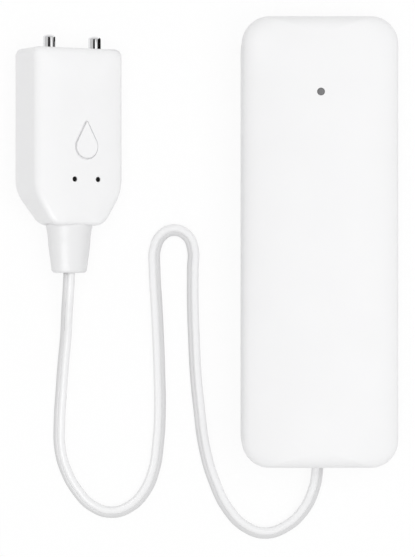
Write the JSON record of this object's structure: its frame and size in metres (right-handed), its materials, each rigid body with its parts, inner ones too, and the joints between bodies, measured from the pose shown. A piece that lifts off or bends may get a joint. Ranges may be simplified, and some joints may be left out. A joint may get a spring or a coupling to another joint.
{
  "type": "water leak sensor",
  "caption": "White battery water leak sensor: a domed oblong case with a sliding back cover, wired by a short looping cord to a flat probe with metal sensing pins.",
  "frame": {"origin": "centre of the battery case's flat back, which lies on the table or sticks to a wall", "axes": "+Z out of the domed front, +Y along the case away from the cord, +X to the right seen from the front"},
  "size_m": [0.0628, 0.0864, 0.02],
  "materials": {
    "case_plastic": "fine satin white moulding",
    "probe_plastic": "smooth satin white moulding",
    "soft_plastic": "soft white moulding",
    "cord_jacket": "smooth white jacket",
    "pin_metal": "polished nickel plate",
    "plated_steel": "nickel-plated spring steel",
    "board_laminate": "green solder mask",
    "cell_jacket": "dark jacket with a plain metal band",
    "light_pipe_grey": "smoked clear plastic",
    "dark_contact": "dark plated metal",
    "switch_plastic": "black moulding",
    "button_plastic": "light grey moulding",
    "connector_plastic": "natural white nylon",
    "lead_red": "red lead",
    "lead_black": "black lead"
  },
  "bodies": {
    "unit": {"front_shell": "case_plastic", "battery_tray": "case_plastic", "probe_shell": "probe_plastic", "probe_back": "probe_plastic", "strain_relief": "soft_plastic", "sensor_cord": "cord_jacket", "contact_pin_left": "pin_metal", "contact_pin_right": "pin_metal", "positive_contact": "plated_steel", "negative_contact": "plated_steel", "negative_spring": "plated_steel", "bridge_contact": "plated_steel", "bridge_spring": "plated_steel", "tray_screws": "plated_steel", "radio_shield": "plated_steel", "circuit_board": "board_laminate", "radio_module": "board_laminate", "probe_board": "board_laminate", "cell_left": "cell_jacket", "cell_right": "cell_jacket", "light_pipe": "light_pipe_grey", "drip_contacts": "dark_contact", "reset_switch": "switch_plastic", "lead_socket": "connector_plastic", "lead_plug": "connector_plastic", "status_led": "connector_plastic", "lead_wire_left": "lead_red", "probe_wire_left": "lead_red", "lead_wire_right": "lead_black", "probe_wire_right": "lead_black"},
    "cover": {"back_cover": "case_plastic"},
    "button": {"reset_button": "button_plastic", "switch_plunger": "switch_plastic"}
  },
  "joints": [
    {"name": "cover_slide", "type": "slide", "parent": "unit", "child": "cover", "axis": [0, 1, 0], "range_m": [0, 0.072]},
    {"name": "button_press", "type": "slide", "parent": "unit", "child": "button", "axis": [0, 0, 1], "range_m": [0, 0.00025], "stiffness_N_per_m": 3000}
  ]
}
